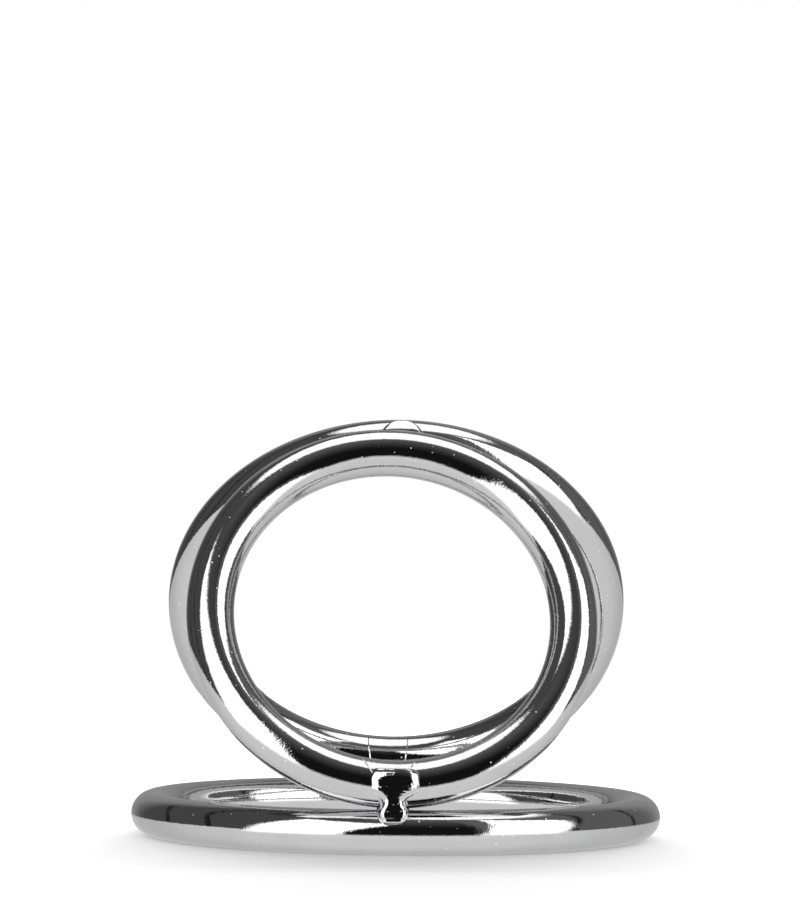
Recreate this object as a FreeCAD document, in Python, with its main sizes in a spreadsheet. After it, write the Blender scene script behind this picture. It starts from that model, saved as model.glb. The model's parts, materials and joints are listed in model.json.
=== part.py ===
import FreeCAD, Part

"""Three polished round-bar rings welded into one rigid, three-sided frame.

The largest ring lies flat. A smaller ring stands on its front and leans back, a medium ring stands on
its back and leans forward, and the two meet and are welded at the top. Each ring is one bar bent round
and closed with a butt weld in a V groove; each of the three joints has a weld bead on either side.

Millimetres and degrees. +Z is up, +Y runs from the front joint to the rear joint, and the origin is the
centre of the flat ring, on the surface that it lies on.
"""

import math
import os

from FreeCAD import Matrix, Placement, Rotation, Vector

SIZES = {
    # the flat ring
    "base_bar": 5.0,
    "base_bore": 52.0,
    # the ring that leans back from the front
    "front_bar": 5.4,
    "front_bore": 36.0,
    "front_turn": 4.3,
    "front_shift": -0.6,
    # the ring that leans forward from the back
    "rear_bar": 5.8,
    "rear_bore": 42.8,
    "rear_turn": 0.7,
    "rear_shift": -0.2,
    # where the bars meet, and the gap that the welds bridge
    "front_joint_angle": 5.3,
    "rear_joint_angle": 30.0,
    "top_joint_angle": 10.5,
    "root_gap": 0.1,
    # the V groove of each ring's closing weld, wide at the bore and narrow outside, and how far the
    # wedge that cuts it runs on past the bore and the outside
    "base_closure_mouth": 3.2,
    "base_closure_root": 1.4,
    "front_closure_mouth": 6.0,
    "front_closure_root": 1.6,
    "rear_closure_mouth": 5.6,
    "rear_closure_root": 1.6,
    "closure_overrun": 1.0,
    # the weld beads: a cap on the upper bar, whose centre lies outwards from the bar's and below it and
    # which stands proud of the bar, and a foot on the lower bar, dropped below the middle of the joint
    "front_cap_length": 8.6,
    "front_cap_proud": 0.65,
    "front_cap_out": 0.75,
    "front_cap_below": 0.15,
    "front_foot_radius": 1.75,
    "front_foot_out": 0.9,
    "front_foot_drop": 0.6,
    "rear_cap_length": 8.6,
    "rear_cap_proud": 0.55,
    "rear_cap_out": 0.75,
    "rear_cap_below": 0.15,
    "rear_foot_radius": 1.75,
    "rear_foot_out": 0.9,
    "rear_foot_drop": 0.6,
    "top_cap_length": 4.9,
    "top_cap_proud": 0.3,
    "top_cap_out": 0.75,
    "top_cap_below": 2.05,
    "top_foot_radius": 1.9,
    "top_foot_out": 0.8,
    "top_foot_drop": 1.0,
    # how far a cutting block reaches past what it cuts
    "cut_margin": 3.0,
}

RINGS = ("base", "front", "rear")

# Each joint: the lower bar, the upper bar, and the names of its beads on the +t and the -t side.
JOINTS = {
    "front": ("base", "front", "front_joint_outer_weld", "front_joint_inner_weld"),
    "rear": ("base", "rear", "rear_joint_inner_weld", "rear_joint_outer_weld"),
    "top": ("front", "rear", "top_joint_upper_weld", "top_joint_lower_weld"),
}


def make_sheet(doc):
    """Writes every driving size into a spreadsheet, one named cell each."""
    sheet = doc.addObject("Spreadsheet::Sheet", "Sizes")
    for row, (alias, value) in enumerate(SIZES.items(), start=1):
        sheet.set(f"A{row}", alias)
        sheet.set(f"B{row}", str(value))
        sheet.setAlias(f"B{row}", alias)
    doc.recompute()
    return sheet


def side_vector(angle_deg, length=1.0):
    """A vector in the YZ plane, leaning from +Z towards +Y by the angle."""
    angle = math.radians(angle_deg)
    return Vector(0, length * math.sin(angle), length * math.cos(angle))


def circle_meeting(centre_a, radius_a, centre_b, radius_b):
    """The upper of the two points of the YZ plane where two circles meet."""
    across = centre_b - centre_a
    span = across.Length
    along = (radius_a**2 - radius_b**2 + span**2) / (2 * span)
    rise = math.sqrt(radius_a**2 - along**2)
    unit = across / span
    return centre_a + unit * along + Vector(0, -unit.z, unit.y) * rise


def frame_placement(origin, x_axis, y_axis):
    """The placement that carries local X and Y onto two square unit vectors at the origin given."""
    z_axis = x_axis.cross(y_axis)
    turn = Matrix(
        x_axis.x, y_axis.x, z_axis.x, 0,
        x_axis.y, y_axis.y, z_axis.y, 0,
        x_axis.z, y_axis.z, z_axis.z, 0,
        0, 0, 0, 1,
    )
    return Placement(origin, Rotation(turn))


def lay_out(size):
    """Solves the side view of the frame from the sheet's sizes.

    Returns each ring's placement (local -Y points at its closing weld) and each joint's placement
    (origin midway between the two bars, local X along them, local Y from the lower bar to the upper).
    """
    radius = {ring: (getattr(size, f"{ring}_bore") + getattr(size, f"{ring}_bar")) / 2 for ring in RINGS}
    bar = {ring: getattr(size, f"{ring}_bar") / 2 for ring in RINGS}
    gap = size.root_gap

    base_front = Vector(0, -radius["base"], bar["base"])
    base_back = Vector(0, radius["base"], bar["base"])
    front_step = side_vector(size.front_joint_angle, bar["base"] + bar["front"] + gap)
    rear_step = side_vector(-size.rear_joint_angle, bar["base"] + bar["rear"] + gap)
    top_step = side_vector(90 - size.top_joint_angle, bar["front"] + bar["rear"] + gap)

    front_foot = base_front + front_step
    rear_foot = base_back + rear_step
    front_top = circle_meeting(front_foot, 2 * radius["front"], rear_foot - top_step, 2 * radius["rear"])
    rear_top = front_top + top_step

    rings = {"base": frame_placement(Vector(0, 0, bar["base"]), Vector(-1, 0, 0), Vector(0, -1, 0))}
    for ring, foot, top in (("front", front_foot, front_top), ("rear", rear_foot, rear_top)):
        up = (top - foot).normalize()
        turn = Rotation(up, getattr(size, f"{ring}_turn"))
        shift = Vector(getattr(size, f"{ring}_shift"), 0, 0)
        rings[ring] = frame_placement((foot + top) / 2 + shift, turn.multVec(Vector(1, 0, 0)), up)

    joints = {}
    for name, lower, step, shift in (
        ("front", base_front, front_step, size.front_shift),
        ("rear", base_back, rear_step, size.rear_shift),
        ("top", front_top, top_step, (size.front_shift + size.rear_shift) / 2),
    ):
        low_bar = JOINTS[name][0]
        unit = Vector(step).normalize()
        middle = lower + unit * (bar[low_bar] + gap / 2) + Vector(shift, 0, 0)
        joints[name] = frame_placement(middle, Vector(1, 0, 0), unit)
    return rings, joints


def bind(thing, **expressions):
    """Ties properties of an object to expressions of the sheet."""
    for name, expression in expressions.items():
        thing.setExpression(name, expression)


def named_node(thing, label):
    thing.Label = label
    return thing


def make_ring(doc, ring, place):
    """A ring's bar with its V groove, the weld that fills the groove, and the whole round they make."""
    whole = doc.addObject("Part::Torus", f"{ring}_round")
    bind(
        whole,
        Radius1=f"(Sizes.{ring}_bore + Sizes.{ring}_bar) / 2",
        Radius2=f"Sizes.{ring}_bar / 2",
    )
    whole.Placement = place

    # a wedge across the bar, run on past the bore and the outside so that it cuts all the way through
    groove = doc.addObject("Part::Wedge", f"{ring}_groove")
    mouth = f"Sizes.{ring}_closure_mouth"
    root = f"Sizes.{ring}_closure_root"
    widening = f"Sizes.closure_overrun * ({mouth} - {root}) / Sizes.{ring}_bar"
    root_half = f"({root} - {widening}) / 2"
    mouth_half = f"({mouth} + {widening}) / 2"
    bar_half = f"(Sizes.{ring}_bar / 2 + Sizes.cut_margin)"
    bind(
        groove,
        Ymin=f"-Sizes.{ring}_bore / 2 - Sizes.{ring}_bar - Sizes.closure_overrun",
        Ymax=f"-Sizes.{ring}_bore / 2 + Sizes.closure_overrun",
        Xmin=f"-{root_half}",
        Xmax=root_half,
        X2min=f"-{mouth_half}",
        X2max=mouth_half,
        Zmin=f"-{bar_half}",
        Zmax=bar_half,
        Z2min=f"-{bar_half}",
        Z2max=bar_half,
    )
    groove.Placement = place

    bar = doc.addObject("Part::Cut", f"{ring}_bar_body")
    bar.Base = whole
    bar.Tool = groove

    weld = doc.addObject("Part::Common", f"{ring}_closure_body")
    weld.Base = whole
    weld.Tool = groove
    nodes = [named_node(bar, f"{ring}_ring"), named_node(weld, f"{ring}_ring_closure_weld")]
    return whole, nodes


def make_bead(doc, joint, label, side, place, rounds):
    """One weld bead: a rounded cap and foot, kept to its own side of the joint and cut by both bars.

    side is 1 for the bead on the joint's local +Z side and -1 for the bead on its -Z side.
    """
    prefix = f"Sizes.{joint}"
    lower, upper, _, _ = JOINTS[joint]
    turned = place.multiply(Placement(Vector(), Rotation(Vector(0, 1, 0), 0 if side > 0 else 180)))

    cap = doc.addObject("Part::Ellipsoid", f"{label}_cap")
    cap_radius = f"Sizes.{upper}_bar / 2 + {prefix}_cap_proud - {prefix}_cap_out"
    bind(cap, Radius1=cap_radius, Radius2=f"{prefix}_cap_length / 2", Radius3=cap_radius)
    size = doc.Sizes
    cap_out = getattr(size, f"{joint}_cap_out")
    bar_rise = (size.root_gap + getattr(size, f"{upper}_bar")) / 2
    cap_rise = bar_rise - getattr(size, f"{joint}_cap_below")
    cap.Placement = turned.multiply(Placement(Vector(0, cap_rise, cap_out), Rotation()))

    foot = doc.addObject("Part::Sphere", f"{label}_foot")
    bind(foot, Radius=f"{prefix}_foot_radius")
    foot_out = getattr(size, f"{joint}_foot_out")
    foot_drop = getattr(size, f"{joint}_foot_drop")
    foot.Placement = turned.multiply(Placement(Vector(0, -foot_drop, foot_out), Rotation()))

    lump = doc.addObject("Part::Fuse", f"{label}_lump")
    lump.Base = cap
    lump.Tool = foot

    # everything on the bead's own side of the plane through the two bars
    reach = f"{prefix}_cap_length + Sizes.{upper}_bar + Sizes.cut_margin"
    block = doc.addObject("Part::Box", f"{label}_side")
    bind(block, Length=f"2 * ({reach})", Width=f"2 * ({reach})", Height=reach)
    doc.recompute()
    corner = Vector(-block.Length.Value / 2, -block.Width.Value / 2, 0)
    block.Placement = turned.multiply(Placement(corner, Rotation()))

    half = doc.addObject("Part::Common", f"{label}_half")
    half.Base = lump
    half.Tool = block

    clear_of_lower = doc.addObject("Part::Cut", f"{label}_on_lower")
    clear_of_lower.Base = half
    clear_of_lower.Tool = rounds[lower]

    bead = doc.addObject("Part::Cut", f"{label}_body")
    bead.Base = clear_of_lower
    bead.Tool = rounds[upper]
    return named_node(bead, label)


def check(doc, nodes):
    """Stops the run if anything failed to build."""
    for thing in doc.Objects:
        if "Invalid" in thing.State or "Error" in thing.State:
            raise RuntimeError(f"{thing.Name} did not build: {thing.State}")
    for node in nodes:
        shape = node.Shape
        if shape.isNull() or not shape.isValid() or len(shape.Solids) != 1:
            raise RuntimeError(f"{node.Label} is not one valid solid")


def main():
    os.makedirs("parts", exist_ok=True)
    doc = FreeCAD.newDocument("welded_ring_frame")
    sheet = make_sheet(doc)
    ring_places, joint_places = lay_out(sheet)

    nodes = []
    rounds = {}
    for ring in RINGS:
        rounds[ring], ring_nodes = make_ring(doc, ring, ring_places[ring])
        nodes += ring_nodes
    for joint, (_, _, near_label, far_label) in JOINTS.items():
        for label, side in ((near_label, 1), (far_label, -1)):
            nodes.append(make_bead(doc, joint, label, side, joint_places[joint], rounds))

    doc.recompute()
    check(doc, nodes)
    for node in nodes:
        node.Shape.exportStep(f"parts/{node.Label}.step")
        print(f"{node.Label}: {node.Shape.Volume:.2f} mm3")


main()
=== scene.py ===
"""Looks for a rigid frame of three polished chrome rings, welded where they touch.

Every ring is one round bar bent into a circle and closed by a butt weld in a V groove. A bead of weld
metal sits on either side of each joint. Lengths are in metres unless a name says otherwise.
"""

import json
import logging
import math
from dataclasses import dataclass, field
from enum import Enum

import bmesh
import bpy
from mathutils import Matrix, Vector, noise

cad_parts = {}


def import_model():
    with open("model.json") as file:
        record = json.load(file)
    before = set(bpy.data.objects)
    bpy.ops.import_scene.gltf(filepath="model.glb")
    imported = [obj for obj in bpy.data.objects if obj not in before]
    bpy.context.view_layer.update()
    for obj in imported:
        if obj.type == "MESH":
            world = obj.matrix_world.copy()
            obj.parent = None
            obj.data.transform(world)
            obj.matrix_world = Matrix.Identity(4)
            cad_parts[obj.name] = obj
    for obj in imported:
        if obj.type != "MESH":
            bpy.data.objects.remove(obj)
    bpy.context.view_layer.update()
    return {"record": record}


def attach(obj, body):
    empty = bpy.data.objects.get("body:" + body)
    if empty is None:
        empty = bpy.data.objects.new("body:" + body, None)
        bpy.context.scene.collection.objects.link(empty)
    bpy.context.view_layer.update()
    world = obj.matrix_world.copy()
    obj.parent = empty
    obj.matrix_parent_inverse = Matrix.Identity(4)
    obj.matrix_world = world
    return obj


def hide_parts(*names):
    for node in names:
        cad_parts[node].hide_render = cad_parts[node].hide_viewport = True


LOG = logging.getLogger("ring_frame")

MM = 0.001

# two vertices this close become one, and a vertex this close to a plane counts as on it, in metres
MERGE_DISTANCE = 1e-7
ON_PLANE = 1e-8

# a speck's smallest size beside its width, and how much of it is solid
SPECK_LEAST = 0.35
SPECK_CORE = 0.6

# the noise values between which haze and wipe marks set in, and how the marks are drawn out
HAZE_RANGE = (-0.12, 0.22)
MARK_RANGE = (0.08, 0.25)
MARK_STRETCH = (1.0, 0.12, 0.12)

Socket = bpy.types.NodeSocket


class Slot(Enum):
    """The record's material slots."""

    BASE_RING = "base_ring_chrome"
    FRONT_RING = "front_ring_chrome"
    REAR_RING = "rear_ring_chrome"
    CLOSURE_WELD = "closure_weld_chrome"
    JOINT_WELD = "joint_weld_chrome"


class Side(Enum):
    """Which side of a joint a bead is on, along the joint's own Z."""

    NEAR = 1
    FAR = -1


# ---------------------------------------------------------------- node graphs


class Graph:
    """A small wrapper that builds and joins the nodes of one tree."""

    def __init__(self, tree: bpy.types.NodeTree) -> None:
        """Starts from an emptied tree.

        Args:
            tree: the node tree to fill.
        """
        self.tree = tree
        tree.nodes.clear()

    def node(self, kind: str, **settings: object) -> bpy.types.Node:
        """Adds a node and sets its properties.

        Args:
            kind: the node's type name.
            settings: its properties by name.

        Returns:
            The new node.
        """
        made = self.tree.nodes.new(kind)
        for name, value in settings.items():
            setattr(made, name, value)
        return made

    def feed(self, socket: Socket, value: object) -> None:
        """Links a socket into another, or sets a plain value on it.

        Args:
            socket: the input socket.
            value: an output socket, a number or a tuple.
        """
        if isinstance(value, bpy.types.NodeSocket):
            self.tree.links.new(value, socket)
        else:
            socket.default_value = value

    def math(self, operation: str, *values: object) -> Socket:
        """Adds a Math node and returns its result."""
        made = self.node("ShaderNodeMath", operation=operation)
        for place, value in enumerate(values):
            self.feed(made.inputs[place], value)
        return made.outputs[0]

    def step(
        self,
        value: object,
        low: object,
        high: object,
        to_low: object = 0.0,
        to_high: object = 1.0,
    ) -> Socket:
        """A smooth step from one value to another.

        Args:
            value: what is tested.
            low: where the step starts.
            high: where the step ends.
            to_low: the result below it.
            to_high: the result above it.

        Returns:
            The stepped value.
        """
        made = self.node("ShaderNodeMapRange", interpolation_type="SMOOTHSTEP")
        for name, number in (
            ("Value", value),
            ("From Min", low),
            ("From Max", high),
            ("To Min", to_low),
            ("To Max", to_high),
        ):
            self.feed(made.inputs[name], number)
        return made.outputs["Result"]

    def mix(self, share: object, first: object, second: object) -> Socket:
        """Mixes two numbers.

        Args:
            share: how much of the second, from 0 to 1.
            first: the first number.
            second: the second number.

        Returns:
            The mixed number.
        """
        made = self.node("ShaderNodeMix", data_type="FLOAT")
        self.feed(made.inputs[0], share)
        self.feed(made.inputs[2], first)
        self.feed(made.inputs[3], second)
        return made.outputs[0]

    def noise(self, vector: Socket, size: object, detail: float = 2.0, roughness: float = 0.5) -> Socket:
        """Noise between about -0.5 and 0.5.

        Args:
            vector: the place, in metres.
            size: the width of one feature, in metres.
            detail: the octaves.
            roughness: how strong the finer octaves are.

        Returns:
            The noise, centred on zero.
        """
        scale = self.math("DIVIDE", 1.0, size)
        made = self.node("ShaderNodeTexNoise", noise_dimensions="3D")
        self.feed(made.inputs["Vector"], vector)
        self.feed(made.inputs["Scale"], scale)
        self.feed(made.inputs["Detail"], detail)
        self.feed(made.inputs["Roughness"], roughness)
        return self.math("SUBTRACT", made.outputs["Fac"], 0.5)


def new_group(
    name: str,
    inputs: dict[str, float | None],
    outputs: tuple[str, ...],
) -> tuple[Graph, bpy.types.NodeOutputs, bpy.types.NodeInputs]:
    """Makes an empty shader node group.

    Args:
        name: the group's name.
        inputs: each input and its default; None makes a vector input.
        outputs: the names of its outputs, all numbers.

    Returns:
        The graph, the group's inputs and its outputs.
    """
    tree = bpy.data.node_groups.new(name, "ShaderNodeTree")
    for label, default in inputs.items():
        kind = "NodeSocketVector" if default is None else "NodeSocketFloat"
        socket = tree.interface.new_socket(name=label, in_out="INPUT", socket_type=kind)
        if default is not None:
            socket.default_value = default
    for label in outputs:
        tree.interface.new_socket(name=label, in_out="OUTPUT", socket_type="NodeSocketFloat")
    graph = Graph(tree)
    given = graph.node("NodeGroupInput")
    result = graph.node("NodeGroupOutput")
    return graph, given.outputs, result.inputs


@dataclass(frozen=True)
class SurfaceEffects:
    """The effects that every chrome finish shares, each a node group."""

    relief: bpy.types.NodeTree
    specks: bpy.types.NodeTree
    haze: bpy.types.NodeTree

    @classmethod
    def build(cls) -> "SurfaceEffects":
        """Builds the three groups once."""
        return cls(cls.build_relief(), cls.build_specks(), cls.build_haze())

    @staticmethod
    def build_relief() -> bpy.types.NodeTree:
        """The slight waviness that polishing and plating leave: broad swells, orange peel, fine fringe.

        Returns:
            The group, whose Height is in metres.
        """
        graph, given, result = new_group(
            "polish relief",
            {
                "Place": None,
                "Swell Size": 4.0 * MM,
                "Swell Depth": 0.006 * MM,
                "Peel Size": 0.9 * MM,
                "Peel Depth": 0.002 * MM,
                "Fringe Size": 0.25 * MM,
                "Fringe Depth": 0.001 * MM,
            },
            ("Height",),
        )
        total = None
        for name, detail in (("Swell", 1.0), ("Peel", 1.0), ("Fringe", 1.0)):
            wave = graph.noise(given["Place"], given[f"{name} Size"], detail)
            height = graph.math("MULTIPLY", wave, given[f"{name} Depth"])
            total = height if total is None else graph.math("ADD", total, height)
        graph.feed(result["Height"], total)
        return graph.tree

    @staticmethod
    def build_specks() -> bpy.types.NodeTree:
        """Scattered tiny specks: one in some of the cells of a Voronoi pattern.

        Returns:
            The group, whose Mask is 1 on a speck.
        """
        graph, given, result = new_group(
            "chrome specks",
            {"Place": None, "Spacing": 0.6 * MM, "Width": 0.06 * MM, "Share": 0.2},
            ("Mask",),
        )
        cells = graph.node("ShaderNodeTexVoronoi", voronoi_dimensions="3D", feature="F1")
        graph.feed(cells.inputs["Vector"], given["Place"])
        graph.feed(cells.inputs["Scale"], graph.math("DIVIDE", 1.0, given["Spacing"]))
        parts = graph.node("ShaderNodeSeparateColor")
        graph.feed(parts.inputs[0], cells.outputs["Color"])
        chosen = graph.math("LESS_THAN", parts.outputs[0], given["Share"])
        reach = graph.math("DIVIDE", given["Width"], given["Spacing"])
        size = graph.math("MULTIPLY", reach, graph.math("ADD", parts.outputs[1], SPECK_LEAST))
        near = graph.step(cells.outputs["Distance"], graph.math("MULTIPLY", size, SPECK_CORE), size, 1.0, 0.0)
        graph.feed(result["Mask"], graph.math("MULTIPLY", near, chosen))
        return graph.tree

    @staticmethod
    def build_haze() -> bpy.types.NodeTree:
        """Slow changes of sheen: handling haze, and thin wipe marks that cross it.

        Returns:
            The group, with a mask for each.
        """
        graph, given, result = new_group(
            "handling haze",
            {"Place": None, "Patch Size": 7.0 * MM, "Mark Size": 0.5 * MM},
            ("Haze", "Marks"),
        )
        patch = graph.noise(given["Place"], given["Patch Size"], 3.0)
        graph.feed(result["Haze"], graph.step(patch, *HAZE_RANGE))
        stretch = graph.node("ShaderNodeMapping", vector_type="POINT")
        stretch.inputs["Scale"].default_value = MARK_STRETCH
        graph.feed(stretch.inputs["Vector"], given["Place"])
        streak = graph.noise(stretch.outputs[0], given["Mark Size"], 2.0)
        graph.feed(result["Marks"], graph.step(streak, *MARK_RANGE))
        return graph.tree


# ---------------------------------------------------------------- finishes


@dataclass(frozen=True)
class ChromeFinish:
    """Bright chrome plate over polished steel. Each kind of piece gets its own values."""

    name: str
    tone: tuple[float, float, float] = (0.62, 0.62, 0.625)
    worn_tone: tuple[float, float, float] = (0.585, 0.585, 0.59)
    gloss_roughness: float = 0.025
    haze_roughness: float = 0.06
    swell_size: float = 4.0 * MM
    swell_depth: float = 0.012 * MM
    peel_size: float = 0.8 * MM
    peel_depth: float = 0.008 * MM
    fringe_size: float = 0.22 * MM
    fringe_depth: float = 0.005 * MM
    speck_spacing: float = 0.62 * MM
    speck_width: float = 0.1 * MM
    speck_share: float = 0.3
    speck_tone: float = 0.9
    speck_roughness: float = 0.55

    def build(self, effects: SurfaceEffects) -> bpy.types.Material:
        """Makes the material.

        Args:
            effects: the shared node groups.

        Returns:
            The finished material.
        """
        material = bpy.data.materials.new(self.name)
        material.use_nodes = True
        graph = Graph(material.node_tree)
        place = graph.node("ShaderNodeTexCoord").outputs["Object"]

        relief = self._group(graph, effects.relief, place)
        for label, value in (
            ("Swell Size", self.swell_size),
            ("Swell Depth", self.swell_depth),
            ("Peel Size", self.peel_size),
            ("Peel Depth", self.peel_depth),
            ("Fringe Size", self.fringe_size),
            ("Fringe Depth", self.fringe_depth),
        ):
            relief.inputs[label].default_value = value
        specks = self._group(graph, effects.specks, place)
        specks.inputs["Spacing"].default_value = self.speck_spacing
        specks.inputs["Width"].default_value = self.speck_width
        specks.inputs["Share"].default_value = self.speck_share
        haze = self._group(graph, effects.haze, place)

        shader = graph.node("ShaderNodeBsdfPrincipled")
        tone = graph.node("ShaderNodeMix", data_type="RGBA")
        graph.feed(tone.inputs[0], haze.outputs["Haze"])
        graph.feed(tone.inputs[6], (*self.tone, 1.0))
        graph.feed(tone.inputs[7], (*self.worn_tone, 1.0))
        dusted = graph.node("ShaderNodeMix", data_type="RGBA")
        graph.feed(dusted.inputs[0], specks.outputs["Mask"])
        graph.feed(dusted.inputs[6], tone.outputs[2])
        graph.feed(dusted.inputs[7], (self.speck_tone, self.speck_tone, self.speck_tone, 1.0))
        graph.feed(shader.inputs["Base Color"], dusted.outputs[2])

        graph.feed(shader.inputs["Metallic"], 1.0)
        sheen = graph.mix(haze.outputs["Haze"], self.gloss_roughness, self.haze_roughness)
        marked = graph.mix(haze.outputs["Marks"], sheen, self.haze_roughness)
        rough = graph.mix(specks.outputs["Mask"], marked, self.speck_roughness)
        graph.feed(shader.inputs["Roughness"], rough)

        bump = graph.node("ShaderNodeBump")
        bump.inputs["Strength"].default_value = 1.0
        bump.inputs["Distance"].default_value = 1.0
        graph.feed(bump.inputs["Height"], relief.outputs["Height"])
        graph.feed(shader.inputs["Normal"], bump.outputs["Normal"])
        output = graph.node("ShaderNodeOutputMaterial")
        graph.feed(output.inputs["Surface"], shader.outputs["BSDF"])
        return material

    @staticmethod
    def _group(graph: Graph, tree: bpy.types.NodeTree, place: Socket) -> bpy.types.Node:
        """Places a shared group in the graph and feeds its place."""
        made = graph.node("ShaderNodeGroup", node_tree=tree)
        graph.feed(made.inputs["Place"], place)
        return made


# ---------------------------------------------------------------- meshes


def finish_mesh(
    bm: bmesh.types.BMesh,
    name: str,
    place: Matrix,
    material: bpy.types.Material,
) -> bpy.types.Object:
    """Turns a bmesh into a piece whose place is in its mesh.

    Args:
        bm: the mesh, in the piece's own frame. It is freed.
        name: the piece's name.
        place: where that frame is.
        material: the piece's finish.

    Returns:
        The new object, at the origin.
    """
    bmesh.ops.transform(bm, matrix=place, verts=bm.verts)
    bmesh.ops.recalc_face_normals(bm, faces=bm.faces)
    mesh = bpy.data.meshes.new(name)
    bm.to_mesh(mesh)
    bm.free()
    mesh.materials.append(material)
    piece = bpy.data.objects.new(name, mesh)
    bpy.context.scene.collection.objects.link(piece)
    return piece


def declare(piece: bpy.types.Object, node: str) -> None:
    """Hides the CAD part that a piece takes the place of, hangs the piece on the root body, and reports its
    faces.

    Args:
        piece: the finished piece.
        node: the CAD node that it replaces.
    """
    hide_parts(node)
    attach(piece, "root")
    LOG.info("%s: %d faces", piece.name, len(piece.data.polygons))


@dataclass(frozen=True)
class RingPlace:
    """Where a ring is: its axis and centre, its bar, and the way up in its plane. Its foot is opposite."""

    centre: Vector
    axis: Vector
    up: Vector
    bore_radius: float
    bar: float

    @classmethod
    def read(cls, record: dict, mount_name: str, flat: bool = False) -> "RingPlace":
        """Reads a ring's place from the opening that the record gives for it.

        Args:
            record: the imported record.
            mount_name: the opening's name.
            flat: true for the ring that lies flat, whose foot is at the back.

        Returns:
            The ring's place.
        """
        mount = next(m for m in record["mounts"] if m["name"] == mount_name)
        axis = Vector(mount["axis"]).normalized()
        up = Vector((0.0, -1.0, 0.0)) if flat else Vector((0.0, axis.z, -axis.y)).normalized()
        if up.z < 0:
            up.negate()
        return cls(
            centre=Vector(mount["pos_m"]),
            axis=axis,
            up=up,
            bore_radius=mount["dims"]["r_mm"] * MM,
            bar=mount["dims"]["length_mm"] * MM,
        )

    @property
    def radius(self) -> float:
        """The radius of the bar's centre line."""
        return self.bore_radius + self.bar / 2

    @property
    def foot(self) -> Vector:
        """The centre of the bar at the ring's foot."""
        return self.centre - self.up * self.radius

    @property
    def head(self) -> Vector:
        """The centre of the bar opposite the foot."""
        return self.centre + self.up * self.radius

    @property
    def matrix(self) -> Matrix:
        """Carries the ring's own frame, axis on Z and up on Y, into the row frame."""
        across = self.up.cross(self.axis)
        turn = Matrix((across, self.up, self.axis)).transposed()
        return Matrix.Translation(self.centre) @ turn.to_4x4()


@dataclass(frozen=True)
class Groove:
    """The V groove of a closing weld, wide at the bore and narrow outside."""

    mouth: float
    root: float
    offset: float = 0.0
    toe_width: float = 0.07 * MM
    toe_depth: float = 0.035 * MM

    def plane(self, place: RingPlace, hand: int, inset: float = 0.0) -> tuple[Vector, Vector]:
        """One wall of the groove, in the ring's own frame.

        Args:
            place: the ring.
            hand: 1 for the wall on +X and -1 for the wall on -X.
            inset: how far the wall is moved away from the groove.

        Returns:
            A point on the wall, and its normal, which points away from the groove.
        """
        bore = Vector((hand * self.mouth / 2, -place.bore_radius, 0.0))
        outside = Vector((hand * self.root / 2, -place.bore_radius - place.bar, 0.0))
        along = (bore - outside).normalized()
        normal = Vector((along.y, -along.x, 0.0)) * hand
        return bore + normal * inset, normal


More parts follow.
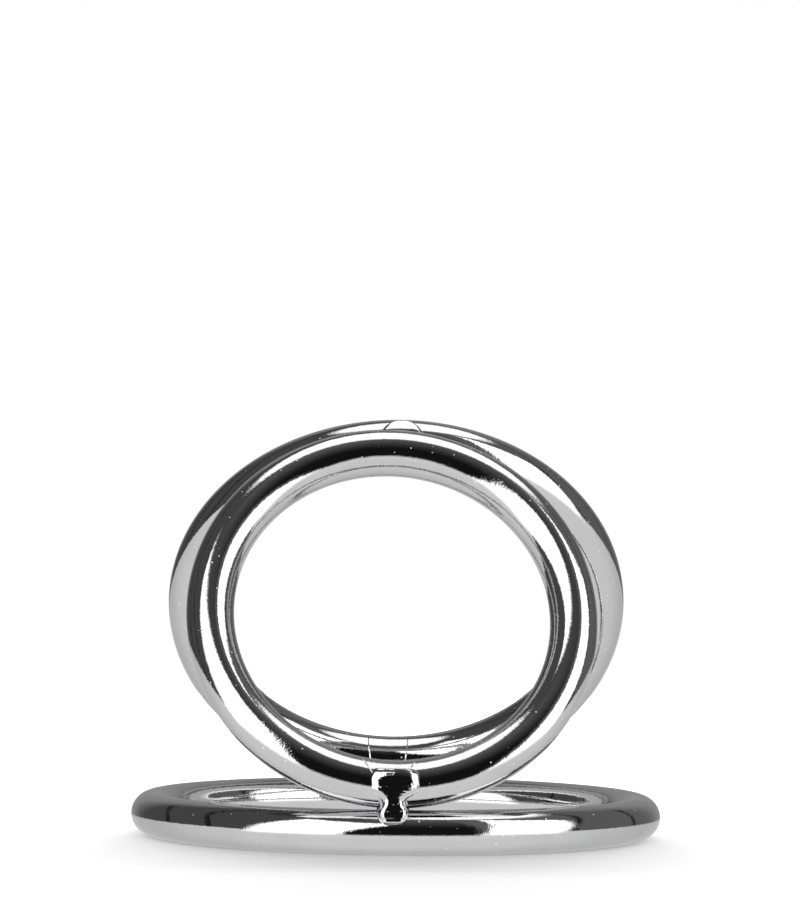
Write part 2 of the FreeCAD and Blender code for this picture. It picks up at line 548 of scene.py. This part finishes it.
@dataclass
class Ring:
    """One ring: its bar, and the weld that closes it."""

    name: str
    place: RingPlace
    groove: Groove
    slot: Slot
    steps: int = 384
    profile_steps: int = 72
    foot_reach: float = 6.0 * MM
    weld_steps: int = 48
    weld_margin: float = 1.4

    def build(self, bar_finish: bpy.types.Material, weld_finish: bpy.types.Material) -> None:
        """Makes the bar and its closing weld.

        Args:
            bar_finish: the bar's material.
            weld_finish: the weld's material.
        """
        place = self.place.matrix @ Matrix.Rotation(self.groove.offset / self.place.radius, 4, "Z")
        bar = finish_mesh(self._bar(), f"{self.name}_bar", place, bar_finish)
        declare(bar, self.name)
        weld = finish_mesh(self._weld(), f"{self.name}_closing_weld", place, weld_finish)
        declare(weld, f"{self.name}_closure_weld")

    def _round(self, start: float, turn: float, steps: int) -> bmesh.types.BMesh:
        """Rolls a grid up into the bar, or a part of it."""
        bm = bmesh.new()
        bmesh.ops.create_grid(bm, x_segments=steps, y_segments=self.profile_steps, size=1.0)
        half = self.place.bar / 2
        for vert in bm.verts:
            along = start + turn * (vert.co.x + 1.0) / 2
            round_bar = math.pi * vert.co.y
            out = self.place.radius + half * math.cos(round_bar)
            vert.co = Vector((out * math.sin(along), -out * math.cos(along), half * math.sin(round_bar)))
        bmesh.ops.remove_doubles(bm, verts=bm.verts, dist=MERGE_DISTANCE)
        for face in bm.faces:
            face.smooth = True
        return bm

    def _cut(
        self,
        bm: bmesh.types.BMesh,
        hand: int,
        inset: float,
        inward: bool,
        clear: bool,
    ) -> list[bmesh.types.BMVert]:
        """Cuts one half of the foot along a wall of the groove."""
        point, normal = self.groove.plane(self.place, hand, inset)
        near = []
        for face in bm.faces:
            corner = face.verts[0].co
            if corner.y < 0 and 0 < corner.x * hand < self.foot_reach:
                near.append(face)
        verts = {vert for face in near for vert in face.verts}
        edges = {edge for face in near for edge in face.edges}
        bisected = bmesh.ops.bisect_plane(
            bm,
            geom=list(verts) + list(edges) + near,
            dist=ON_PLANE,
            plane_co=point,
            plane_no=normal,
            clear_inner=clear and inward,
            clear_outer=clear and not inward,
        )
        return [thing for thing in bisected["geom_cut"] if isinstance(thing, bmesh.types.BMVert)]

    def _sink(self, verts: list[bmesh.types.BMVert]) -> None:
        """Moves the rim of a cut a little towards the bar's centre line, for the weld's toe line."""
        share = 1.0 - self.groove.toe_depth / (self.place.bar / 2)
        for vert in verts:
            flat = Vector((vert.co.x, vert.co.y, 0.0)).normalized() * self.place.radius
            vert.co = flat + (vert.co - flat) * share

    def _cap(self, bm: bmesh.types.BMesh) -> None:
        """Closes the open ends, and keeps every edge of the toe lines sharp."""
        rim = [edge for edge in bm.edges if edge.is_boundary]
        bmesh.ops.edgeloop_fill(bm, edges=rim)
        for edge in rim:
            edge.smooth = False

    def _bar(self) -> bmesh.types.BMesh:
        """The bar, open at its foot where the closing weld is.

        Returns:
            A new bmesh, in the ring's own frame.
        """
        bm = self._round(0.0, 2 * math.pi, self.steps)
        rims = []
        for hand in (1, -1):
            self._sharpen(bm, self._cut(bm, hand, self.groove.toe_width, True, False))
            rims += self._cut(bm, hand, 0.0, True, True)
        self._sink([vert for vert in rims if vert.is_valid])
        self._cap(bm)
        return bm

    def _weld(self) -> bmesh.types.BMesh:
        """The weld that fills the groove, flush with the bar.

        Returns:
            A new bmesh, in the ring's own frame.
        """
        widest = max(self.groove.mouth, self.groove.root)
        reach = self.weld_margin * math.asin(widest / 2 / self.place.bore_radius)
        bm = self._round(-reach, 2 * reach, self.weld_steps)
        rims = []
        for hand in (1, -1):
            self._sharpen(bm, self._cut(bm, hand, -self.groove.toe_width, False, False))
            rims += self._cut(bm, hand, 0.0, False, True)
        self._sink([vert for vert in rims if vert.is_valid])
        self._cap(bm)
        return bm

    @staticmethod
    def _sharpen(bm: bmesh.types.BMesh, verts: list[bmesh.types.BMVert]) -> None:
        """Marks the edges that join the given vertices as sharp."""
        chosen = set(verts)
        for edge in bm.edges:
            if edge.verts[0] in chosen and edge.verts[1] in chosen:
                edge.smooth = False


@dataclass(frozen=True)
class Skin:
    """How frozen weld metal departs from its smooth shape."""

    ripple_size: float = 1.4 * MM
    ripple_depth: float = 0.07 * MM
    grain_size: float = 0.5 * MM
    grain_depth: float = 0.02 * MM
    nodule_size: float = 0.3 * MM
    nodule_depth: float = 0.05 * MM
    nodule_level: float = 0.3

    def roughen(self, bm: bmesh.types.BMesh, seed: float) -> None:
        """Moves the skin in and out a little, with a small nodule here and there.

        Args:
            bm: the bead.
            seed: keeps any two beads from being alike.
        """
        offset = Vector((seed, 3.1 * seed, 0.7))
        bm.normal_update()
        for vert in bm.verts:
            broad = noise.noise(vert.co / self.ripple_size + offset)
            fine = noise.noise(vert.co / self.grain_size + offset)
            lump = max(0.0, noise.noise(vert.co / self.nodule_size + offset * 2.0) - self.nodule_level)
            lift = broad * self.ripple_depth + fine * self.grain_depth + lump * self.nodule_depth
            vert.co += vert.normal * lift


@dataclass(frozen=True)
class Station:
    """One level of a column bead, in millimetres from the joint's middle.

    The face is how far out its front is, and squareness says how flat that front is.
    """

    height: float
    half_width: float
    face: float
    squareness: float = 2.9


@dataclass(frozen=True)
class ColumnBead:
    """A bead that bridges two bars like a waisted column with a flattened face."""

    stations: tuple[Station, ...]
    offset: float = 0.0
    skin: Skin = Skin()
    around: int = 144
    levels: int = 110

    def build(self, seed: float) -> bmesh.types.BMesh:
        """Rolls a grid up into the column, level by level.

        Args:
            seed: keeps its skin from being like another's.

        Returns:
            A new bmesh, in the joint's frame.
        """
        bm = bmesh.new()
        bmesh.ops.create_grid(bm, x_segments=self.around, y_segments=self.levels, size=1.0)
        low = self.stations[0].height
        high = self.stations[-1].height
        sections = {}
        for vert in bm.verts:
            angle = math.pi * vert.co.x
            height = low + (high - low) * (vert.co.y + 1.0) / 2
            if height not in sections:
                sections[height] = self._at(height)
            section = sections[height]
            power = 2.0 / section.squareness
            across = math.copysign(abs(math.cos(angle)) ** power, math.cos(angle))
            out = math.copysign(abs(math.sin(angle)) ** power, math.sin(angle))
            vert.co = Vector((section.half_width * across + self.offset, height, section.face * out)) * MM
        bmesh.ops.remove_doubles(bm, verts=bm.verts, dist=MERGE_DISTANCE)
        for face in bm.faces:
            face.smooth = True
        self.skin.roughen(bm, seed)
        bmesh.ops.edgeloop_fill(bm, edges=[edge for edge in bm.edges if edge.is_boundary])
        return bm

    def _at(self, height: float) -> Station:
        """The section at a height, eased between stations."""
        stations = self.stations
        last = len(stations) - 2
        place = next((i for i in range(last + 1) if height <= stations[i + 1].height), last)
        before = stations[max(place - 1, 0)]
        low = stations[place]
        high = stations[place + 1]
        after = stations[min(place + 2, last + 1)]
        span = high.height - low.height
        t = min(1.0, max(0.0, (height - low.height) / span))
        values = []
        for name in ("half_width", "face", "squareness"):
            first, second = getattr(low, name), getattr(high, name)
            slope_in = (second - getattr(before, name)) / max(high.height - before.height, 1e-6) * span
            slope_out = (getattr(after, name) - first) / max(after.height - low.height, 1e-6) * span
            value = (
                (2 * t**3 - 3 * t**2 + 1) * first
                + (t**3 - 2 * t**2 + t) * slope_in
                + (3 * t**2 - 2 * t**3) * second
                + (t**3 - t**2) * slope_out
            )
            values.append(max(value, 0.0))
        return Station(height, *values)


@dataclass
class Joint:
    """Two bars that touch, and the beads on either side."""

    name: str
    lower_centre: Vector
    lower_bar: float
    upper_centre: Vector
    upper_bar: float
    seed: float
    beads: dict[Side, tuple[str, ColumnBead]]

    @property
    def gap(self) -> float:
        """How far apart the two bars are."""
        step = self.upper_centre - self.lower_centre
        return math.hypot(step.y, step.z) - (self.lower_bar + self.upper_bar) / 2

    def build(self, finish: bpy.types.Material) -> None:
        """Makes each bead.

        Args:
            finish: the beads' material.
        """
        for side, (node, bead) in self.beads.items():
            bm = bead.build(self.seed + side.value)
            bmesh.ops.bisect_plane(
                bm,
                geom=bm.verts[:] + bm.edges[:] + bm.faces[:],
                dist=ON_PLANE,
                plane_co=(0.0, 0.0, 0.0),
                plane_no=(0.0, 0.0, 1.0),
                clear_inner=True,
            )
            bmesh.ops.edgeloop_fill(bm, edges=[edge for edge in bm.edges if edge.is_boundary])
            piece = finish_mesh(bm, f"{node}_bead", self._matrix(side), finish)
            declare(piece, node)

    def _matrix(self, side: Side) -> Matrix:
        """The bead's own frame: X along the bars, Y from the lower bar to the upper, Z out of the joint."""
        step = self.upper_centre - self.lower_centre
        shift = (self.upper_centre.x + self.lower_centre.x) / 2
        step.x = 0.0
        up = step.normalized()
        middle = self.lower_centre + up * ((self.lower_bar + self.gap) / 2)
        middle.x = shift
        across = Vector((1.0, 0.0, 0.0)) * side.value
        out = across.cross(up)
        return Matrix.Translation(middle) @ Matrix((across, up, out)).transposed().to_4x4()


# ---------------------------------------------------------------- studio


@dataclass(frozen=True)
class Ramp:
    """Where a smooth step starts and ends."""

    low: float
    high: float


@dataclass(frozen=True)
class Softbox:
    """A bright panel in the sky round the object, in degrees of azimuth and elevation.

    Azimuth 0 is towards the camera and grows to its right. Each upright edge is a quadratic of elevation,
    and the top edge slopes with azimuth about its own middle.
    """

    left: tuple[float, float, float]
    right: tuple[float, float, float]
    bottom: float
    top: float
    top_slope: float
    top_middle: float
    outer_softness: float = 4.0
    inner_softness: float = 2.5
    top_softness: float = 4.0
    bottom_softness: float = 8.0


@dataclass(frozen=True)
class OvalLine:
    """A thin dark line in the sky: part of an oval, in degrees.

    The thickness and the end at the back are shares of the oval's half width.
    """

    azimuth: float
    half_width: float
    half_height: float
    thickness: float
    back_end: float = -0.4


@dataclass
class Studio:
    """Floor, camera and the light round the object."""

    softboxes: tuple[Softbox, ...] = (
        Softbox(
            left=(-65.7, 0.162, 0.0),
            right=(-22.2, 0.275, 0.0051),
            bottom=-12.0,
            top=58.9,
            top_slope=-0.227,
            top_middle=-60.0,
        ),
        Softbox(
            left=(40.4, 0.074, 0.0035),
            right=(78.9, 0.335, 0.0),
            bottom=-9.5,
            top=61.8,
            top_slope=-0.7,
            top_middle=60.0,
        ),
    )
    lines: tuple[OvalLine, ...] = (
        OvalLine(azimuth=-155.0, half_width=39.0, half_height=31.5, thickness=0.05),
        OvalLine(azimuth=155.0, half_width=29.0, half_height=33.0, thickness=0.05),
        OvalLine(azimuth=-175.0, half_width=87.0, half_height=60.0, thickness=0.022),
        OvalLine(azimuth=175.0, half_width=91.0, half_height=60.0, thickness=0.022),
    )
    # the dark wall behind the camera, between the softboxes: its sides, and where it grows paler upwards
    front_left: Ramp = Ramp(-25.5, -19.5)
    front_right: Ramp = Ramp(33.5, 39.5)
    high_wall: Ramp = Ramp(25.0, 83.0)
    high_wall_power: float = 1.35
    # where the left wall turns into the right one
    wall_turn: Ramp = Ramp(-30.0, 30.0)
    # the backdrop: how far it reaches to either side of straight back, and up
    backdrop_side: Ramp = Ramp(14.0, 42.0)
    backdrop_top: Ramp = Ramp(38.0, 52.0)
    # the ceiling's edge: its mean elevation, then the size and azimuth of its tilt and of its bend
    ceiling_start: float = 66.0
    ceiling_tilt: float = 9.7
    ceiling_tilt_azimuth: float = -26.0
    ceiling_bend: float = 1.9
    ceiling_bend_azimuth: float = 20.0
    ceiling_softness: float = 4.0
    # the floor: from the back to the front, along the front, from below to the horizon, and the wall's foot.
    # The floor that mirrors see is painted into the sky with painted shade for the object's shadow: darker
    # towards the back, and in front darker towards straight down
    floor_turn: Ramp = Ramp(-1.0, 0.3)
    floor_front: Ramp = Ramp(0.3, 1.0)
    floor_shallow: Ramp = Ramp(-45.0, -5.0)
    wall_foot: Ramp = Ramp(-19.5, -7.5)
    horizon: Ramp = Ramp(-5.4, -3.4)
    softbox_radiance: float = 2.2
    left_wall_radiance: float = 0.083
    right_wall_radiance: float = 0.15
    dark_radiance: float = 0.01
    high_wall_radiance: float = 0.19
    backdrop_radiance: float = 0.3
    floor_radiance: float = 0.9
    # painted shade: the floor that mirrors see behind the object, darkened for the object's shadow
    shadowed_floor_radiance: float = 0.62
    near_floor_gain: float = 0.1
    ceiling_radiance: float = 1.75
    dome_radiance: float = 0.75
    page_radiance: float = 1.0
    back_light_power: float = 84.0
    back_light_size: tuple[float, float] = (2.4, 0.185)
    back_light_place: Vector = field(default_factory=lambda: Vector((0.0, 910.0, 124.0)) * MM)
    camera_place: Vector = field(default_factory=lambda: Vector((0.056, -563.90, 43.07)) * MM)
    camera_pitch: float = 0.0038
    camera_roll: float = 0.0106
    lens_mm: float = 192.1
    sensor_mm: float = 36.0
    clip: tuple[float, float] = (0.01, 10.0)
    floor_radius: float = 0.35
    floor_segments: int = 96
    floor_tone: float = 0.9

    def build(self) -> None:
        """Makes the floor, the light and the camera."""
        self._floor()
        self._sky()
        self._back_light()
        self._camera()

    def _floor(self) -> None:
        """A plain pale floor at the height that the object rests on."""
        material = bpy.data.materials.new("pale floor")
        material.use_nodes = True
        graph = Graph(material.node_tree)
        shader = graph.node("ShaderNodeBsdfDiffuse")
        shader.inputs["Color"].default_value = (self.floor_tone, self.floor_tone, self.floor_tone, 1.0)
        output = graph.node("ShaderNodeOutputMaterial")
        graph.feed(output.inputs["Surface"], shader.outputs["BSDF"])
        bm = bmesh.new()
        bmesh.ops.create_circle(bm, cap_ends=True, segments=self.floor_segments, radius=self.floor_radius)
        floor = finish_mesh(bm, "floor", Matrix.Identity(4), material)
        floor.visible_glossy = False

    def _sky(self) -> None:
        """Paints the studio by direction: what mirrors see, what lights the floor, what the camera sees."""
        world = bpy.data.worlds.new("studio")
        bpy.context.scene.world = world
        world.use_nodes = True
        world.cycles.sampling_method = "NONE"
        graph = Graph(world.node_tree)
        way = graph.node("ShaderNodeSeparateXYZ")
        graph.feed(way.inputs[0], graph.node("ShaderNodeTexCoord").outputs["Generated"])
        toward = graph.math("MULTIPLY", way.outputs["Y"], -1.0)
        azimuth = graph.math("DEGREES", graph.math("ARCTAN2", way.outputs["X"], toward))
        elevation = graph.math("DEGREES", graph.math("ARCSINE", way.outputs["Z"]))
        room = self._room(graph, azimuth, elevation, toward)
        for box in self.softboxes:
            room = graph.mix(self._softbox(graph, box, azimuth, elevation), room, self.softbox_radiance)
        path = graph.node("ShaderNodeLightPath")
        lit = graph.mix(path.outputs["Is Glossy Ray"], self.dome_radiance, room)
        seen = graph.mix(path.outputs["Is Camera Ray"], lit, self.page_radiance)
        light = graph.node("ShaderNodeBackground")
        light.inputs["Color"].default_value = (1.0, 1.0, 1.0, 1.0)
        graph.feed(light.inputs["Strength"], seen)
        output = graph.node("ShaderNodeOutputWorld")
        graph.feed(output.inputs["Surface"], light.outputs[0])

    def _room(self, graph: Graph, azimuth: Socket, elevation: Socket, toward: Socket) -> Socket:
        """The room without its softboxes."""
        front = graph.math(
            "MULTIPLY",
            self._ramp(graph, azimuth, self.front_left),
            self._ramp(graph, azimuth, self.front_right, falling=True),
        )
        wall = self._walls(graph, azimuth, elevation, front)
        wall = graph.mix(self._ceiling(graph, azimuth, elevation), wall, self.ceiling_radiance)
        floor = self._seen_floor(graph, elevation, toward, front)
        return graph.mix(self._ramp(graph, elevation, self.horizon), floor, wall)

    def _walls(self, graph: Graph, azimuth: Socket, elevation: Socket, front: Socket) -> Socket:
        """The walls and the backdrop."""
        rise = graph.node("ShaderNodeMapRange", interpolation_type="LINEAR", clamp=True)
        graph.feed(rise.inputs["Value"], elevation)
        graph.feed(rise.inputs["From Min"], self.high_wall.low)
        graph.feed(rise.inputs["From Max"], self.high_wall.high)
        high = graph.math("POWER", rise.outputs["Result"], self.high_wall_power)
        side = graph.step(
            azimuth,
            self.wall_turn.low,
            self.wall_turn.high,
            self.left_wall_radiance,
            self.right_wall_radiance,
        )
        wall = graph.mix(front, side, graph.mix(high, self.dark_radiance, self.high_wall_radiance))
        for line in self.lines:
            wall = graph.mix(self._line(graph, line, azimuth, elevation), wall, self.dark_radiance)
        aside = graph.math("SUBTRACT", 180.0, graph.math("ABSOLUTE", azimuth))
        behind = graph.math(
            "MULTIPLY",
            self._ramp(graph, aside, self.backdrop_side, falling=True),
            self._ramp(graph, elevation, self.backdrop_top, falling=True),
        )
        return graph.mix(behind, wall, self.backdrop_radiance)

    def _ceiling(self, graph: Graph, azimuth: Socket, elevation: Socket) -> Socket:
        """The ceiling, whose edge is higher towards the camera."""
        around = graph.math("RADIANS", azimuth)
        once = graph.math("SUBTRACT", around, math.radians(self.ceiling_tilt_azimuth))
        twice = graph.math("SUBTRACT", around, math.radians(self.ceiling_bend_azimuth))
        tilt = graph.math("COSINE", once)
        bend = graph.math("COSINE", graph.math("MULTIPLY", twice, 2.0))
        start = graph.math("MULTIPLY_ADD", bend, self.ceiling_bend, self.ceiling_start)
        start = graph.math("MULTIPLY_ADD", tilt, self.ceiling_tilt, start)
        over = graph.math("SUBTRACT", elevation, start)
        return graph.step(over, -self.ceiling_softness, self.ceiling_softness)

    def _seen_floor(self, graph: Graph, elevation: Socket, toward: Socket, front: Socket) -> Socket:
        """The floor as mirrors see it, with the dark wall's foot running on below the horizon in front. It
        carries painted shade for the object's shadow on the floor: darker towards the back, and in front
        darker towards straight down.
        """
        # painted shade: the floor behind the object is darker for its shadow, and the gain near the horizon
        # in front leaves the floor straight below darker
        under = graph.step(
            toward,
            self.floor_turn.low,
            self.floor_turn.high,
            self.shadowed_floor_radiance,
            self.floor_radiance,
        )
        shallow = graph.step(
            elevation,
            self.floor_shallow.low,
            self.floor_shallow.high,
            0.0,
            self.near_floor_gain,
        )
        under = graph.math("MULTIPLY_ADD", shallow, self._ramp(graph, toward, self.floor_front), under)
        foot = graph.math("MULTIPLY", self._ramp(graph, elevation, self.wall_foot), front)
        return graph.mix(foot, under, self.dark_radiance)

    @staticmethod
    def _ramp(graph: Graph, value: Socket, ramp: Ramp, falling: bool = False) -> Socket:
        """A smooth step over a ramp."""
        ends = (1.0, 0.0) if falling else (0.0, 1.0)
        return graph.step(value, ramp.low, ramp.high, *ends)

    @staticmethod
    def _curve(graph: Graph, terms: tuple[float, float, float], value: Socket) -> Socket:
        """A quadratic of a value."""
        square = graph.math("MULTIPLY", value, value)
        first = graph.math("MULTIPLY_ADD", value, terms[1], terms[0])
        return graph.math("MULTIPLY_ADD", square, terms[2], first)

    def _softbox(self, graph: Graph, box: Softbox, azimuth: Socket, elevation: Socket) -> Socket:
        """How much of a softbox a direction sees."""
        inner_left = box.left[0] > 0
        left_soft = box.inner_softness if inner_left else box.outer_softness
        right_soft = box.outer_softness if inner_left else box.inner_softness
        middle = graph.math("SUBTRACT", azimuth, box.top_middle)
        top = graph.math("MULTIPLY_ADD", middle, box.top_slope, box.top)
        edges = (
            (graph.math("SUBTRACT", azimuth, self._curve(graph, box.left, elevation)), left_soft),
            (graph.math("SUBTRACT", self._curve(graph, box.right, elevation), azimuth), right_soft),
            (graph.math("SUBTRACT", elevation, box.bottom), box.bottom_softness),
            (graph.math("SUBTRACT", top, elevation), box.top_softness),
        )
        share = None
        for distance, soft in edges:
            inside = graph.step(distance, -soft, soft)
            share = inside if share is None else graph.math("MULTIPLY", share, inside)
        return share

    @staticmethod
    def _line(graph: Graph, line: OvalLine, azimuth: Socket, elevation: Socket) -> Socket:
        """How much of a thin oval line a direction sees. Only the oval's front part shows."""
        aside = graph.math("DIVIDE", graph.math("SUBTRACT", azimuth, line.azimuth), line.half_width)
        height = graph.math("DIVIDE", elevation, line.half_height)
        squares = graph.math("ADD", graph.math("POWER", aside, 2.0), graph.math("POWER", height, 2.0))
        off = graph.math("ABSOLUTE", graph.math("SUBTRACT", graph.math("SQRT", squares), 1.0))
        thin = graph.step(off, line.thickness / 2, line.thickness, 1.0, 0.0)
        forward = graph.math("MULTIPLY", aside, -1.0 if line.azimuth > 0 else 1.0)
        return graph.math("MULTIPLY", thin, graph.math("GREATER_THAN", forward, line.back_end))

    def _back_light(self) -> None:
        """A long low panel behind the object, whose light leaves a soft shadow on the floor in front."""
        panel = bpy.data.lights.new("back light", "AREA")
        panel.shape = "RECTANGLE"
        panel.size, panel.size_y = self.back_light_size
        panel.energy = self.back_light_power
        light = bpy.data.objects.new("back light", panel)
        bpy.context.scene.collection.objects.link(light)
        light.matrix_world = Matrix.Translation(self.back_light_place) @ Matrix.Rotation(-math.pi / 2, 4, "X")
        light.visible_camera = False
        light.visible_glossy = False

    def _camera(self) -> None:
        """A long lens, level with the top of the frame."""
        lens = bpy.data.cameras.new("camera")
        lens.lens = self.lens_mm
        lens.sensor_width = self.sensor_mm
        lens.clip_start, lens.clip_end = self.clip
        camera = bpy.data.objects.new("camera", lens)
        bpy.context.scene.collection.objects.link(camera)
        tilt = Matrix.Rotation(math.pi / 2 + self.camera_pitch, 4, "X")
        roll = Matrix.Rotation(self.camera_roll, 4, "Z")
        camera.matrix_world = Matrix.Translation(self.camera_place) @ tilt @ roll
        bpy.context.scene.camera = camera


# ---------------------------------------------------------------- the frame of rings


@dataclass
class RingFrame:
    """The three rings and their three joints."""

    record: dict
    base_groove: Groove = Groove(mouth=3.2 * MM, root=1.4 * MM)
    front_groove: Groove = Groove(mouth=6.7 * MM, root=0.4 * MM, offset=-0.4 * MM)
    rear_groove: Groove = Groove(mouth=4.7 * MM, root=1.6 * MM, offset=0.95 * MM)
    front_outer: ColumnBead = ColumnBead(
        stations=(
            Station(-1.72, 0.3, 1.6, 4.0),
            Station(-1.66, 1.0, 2.5, 4.0),
            Station(-1.58, 1.3, 2.78, 4.5),
            Station(-1.2, 1.55, 2.82, 5.0),
            Station(-0.7, 1.75, 2.87, 5.0),
            Station(-0.2, 1.75, 2.92, 4.6),
            Station(0.4, 1.5, 2.97, 3.6),
            Station(1.0, 1.6, 3.0, 3.2),
            Station(1.5, 2.4, 3.03, 3.2),
            Station(2.0, 3.2, 3.07, 3.2),
            Station(2.8, 3.5, 3.11, 3.2),
            Station(3.4, 3.45, 3.08, 3.2),
            Station(3.9, 3.2, 2.96, 3.4),
            Station(4.3, 2.7, 2.8, 3.6),
            Station(4.48, 2.3, 2.7, 3.8),
            Station(4.56, 1.5, 2.35, 3.8),
            Station(4.6, 0.4, 1.2, 3.8),
        ),
        skin=Skin(ripple_depth=0.04 * MM, grain_depth=0.012 * MM, nodule_depth=0.08 * MM),
    )
    rear_inner: ColumnBead = ColumnBead(
        stations=(
            Station(-2.2, 0.3, 1.2),
            Station(-1.6, 1.5, 2.3),
            Station(-0.8, 1.8, 2.75),
            Station(0.0, 1.75, 2.9),
            Station(0.9, 1.9, 3.0),
            Station(1.8, 2.4, 3.2),
            Station(2.6, 2.3, 3.2),
            Station(3.4, 1.7, 2.9),
            Station(4.0, 0.4, 2.0),
        )
    )
    rear_outer: ColumnBead = ColumnBead(
        stations=(
            Station(-2.2, 0.3, 1.2),
            Station(-1.6, 1.5, 2.3),
            Station(-0.8, 1.9, 2.75),
            Station(0.0, 1.8, 2.9),
            Station(0.9, 1.9, 3.05),
            Station(1.8, 2.5, 3.3),
            Station(2.8, 2.8, 3.4),
            Station(3.8, 2.6, 3.2),
            Station(4.6, 1.9, 2.6),
            Station(5.2, 0.4, 1.4),
        )
    )
    top_upper: ColumnBead = ColumnBead(
        stations=(
            Station(-1.4, 1.2, 1.0, 4.5),
            Station(-1.0, 2.2, 1.65, 4.5),
            Station(-0.55, 2.55, 2.12, 4.5),
            Station(-0.16, 2.6, 2.52, 4.5),
            Station(0.3, 2.5, 2.78, 4.5),
            Station(0.7, 2.2, 3.0, 4.5),
            Station(1.0, 1.75, 3.15, 4.5),
            Station(1.2, 1.25, 3.2, 4.5),
            Station(1.6, 0.95, 3.1, 4.0),
            Station(2.2, 0.8, 3.0, 3.0),
            Station(2.8, 0.5, 2.8, 3.0),
            Station(3.0, 0.2, 2.5, 3.0),
        ),
        offset=0.65,
        skin=Skin(ripple_depth=0.012 * MM, grain_depth=0.003 * MM, nodule_depth=0.0),
    )
    top_lower: ColumnBead = ColumnBead(
        stations=(
            Station(-1.7, 0.3, 1.4),
            Station(-1.1, 1.5, 2.1),
            Station(-0.4, 1.9, 2.3),
            Station(0.4, 1.95, 2.35),
            Station(1.2, 1.6, 2.2),
            Station(1.8, 0.3, 1.5),
        )
    )

    def build(self, effects: SurfaceEffects) -> None:
        """Makes every piece of the frame.

        Args:
            effects: the shared node groups.
        """
        base = RingPlace.read(self.record, "base_ring_opening", flat=True)
        front = RingPlace.read(self.record, "front_ring_opening")
        rear = RingPlace.read(self.record, "rear_ring_opening")
        bar_finish = ChromeFinish("mirror chrome").build(effects)
        weld_finish = ChromeFinish(
            "closing weld chrome",
            gloss_roughness=0.04,
            peel_depth=0.009 * MM,
        ).build(effects)
        bead_finish = ChromeFinish(
            "bead chrome",
            gloss_roughness=0.05,
            haze_roughness=0.1,
            peel_size=0.5 * MM,
            peel_depth=0.012 * MM,
            speck_share=0.3,
        ).build(effects)
        for ring in (
            Ring("base_ring", base, self.base_groove, Slot.BASE_RING, steps=480),
            Ring("front_ring", front, self.front_groove, Slot.FRONT_RING),
            Ring("rear_ring", rear, self.rear_groove, Slot.REAR_RING),
        ):
            ring.build(bar_finish, weld_finish)
        for joint in self._joints(base, front, rear):
            joint.build(bead_finish)

    def _joints(self, base: RingPlace, front: RingPlace, rear: RingPlace) -> tuple[Joint, ...]:
        """The three joints, from the places of the bars that meet there."""
        return (
            Joint(
                "front_joint",
                base.head,
                base.bar,
                front.foot,
                front.bar,
                seed=1.7,
                beads={
                    Side.NEAR: ("front_joint_outer_weld", self.front_outer),
                    Side.FAR: ("front_joint_inner_weld", self.rear_outer),
                },
            ),
            Joint(
                "rear_joint",
                base.foot,
                base.bar,
                rear.foot,
                rear.bar,
                seed=5.3,
                beads={
                    Side.NEAR: ("rear_joint_inner_weld", self.rear_inner),
                    Side.FAR: ("rear_joint_outer_weld", self.rear_outer),
                },
            ),
            Joint(
                "top_joint",
                front.head,
                front.bar,
                rear.head,
                rear.bar,
                seed=9.1,
                beads={
                    Side.NEAR: ("top_joint_upper_weld", self.top_upper),
                    Side.FAR: ("top_joint_lower_weld", self.top_lower),
                },
            ),
        )


def main() -> None:
    """Builds the frame of rings and the studio round it."""
    logging.basicConfig(level=logging.INFO, format="%(message)s")
    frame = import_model()
    RingFrame(frame["record"]).build(SurfaceEffects.build())
    Studio().build()
    bpy.context.scene.view_settings.view_transform = "Standard"


if __name__ == "__main__":
    main()
